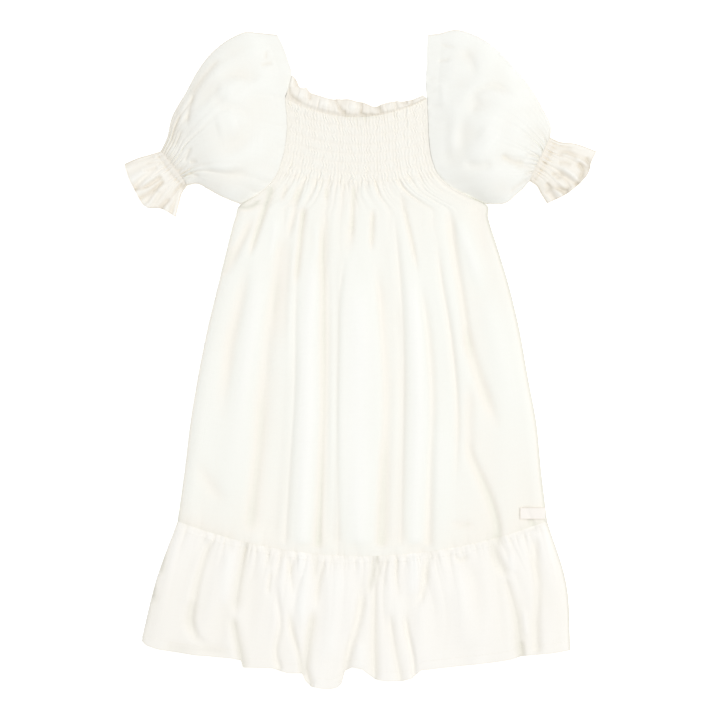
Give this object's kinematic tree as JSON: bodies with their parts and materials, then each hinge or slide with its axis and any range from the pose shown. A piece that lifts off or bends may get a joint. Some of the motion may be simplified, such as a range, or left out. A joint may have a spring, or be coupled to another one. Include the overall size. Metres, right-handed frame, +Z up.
{
  "type": "linen dress",
  "caption": "Child's puff-sleeve linen dress laid flat, with a shirred yoke, frilled neck and cuffs, a gathered skirt and a gathered hem ruffle.",
  "frame": {"origin": "on the table under the middle of the dress's width and length", "axes": "+Z up from the table, +Y towards the neck, +X to the right of someone who looks down at the dress with its neck at the top"},
  "size_m": [0.487, 0.68, 0.0264],
  "materials": {
    "linen": "matte, soft slub weave",
    "woven_tape": "matte, close weave"
  },
  "bodies": {
    "root": {"front_panel": "linen", "back_panel": "linen", "hem_ruffle_front": "linen", "hem_ruffle_back": "linen", "neck_frill_front": "linen", "neck_frill_back": "linen", "sleeve_left": "linen", "sleeve_right": "linen", "cuff_left": "linen", "cuff_right": "linen", "side_tab": "woven_tape"}
  },
  "joints": []
}
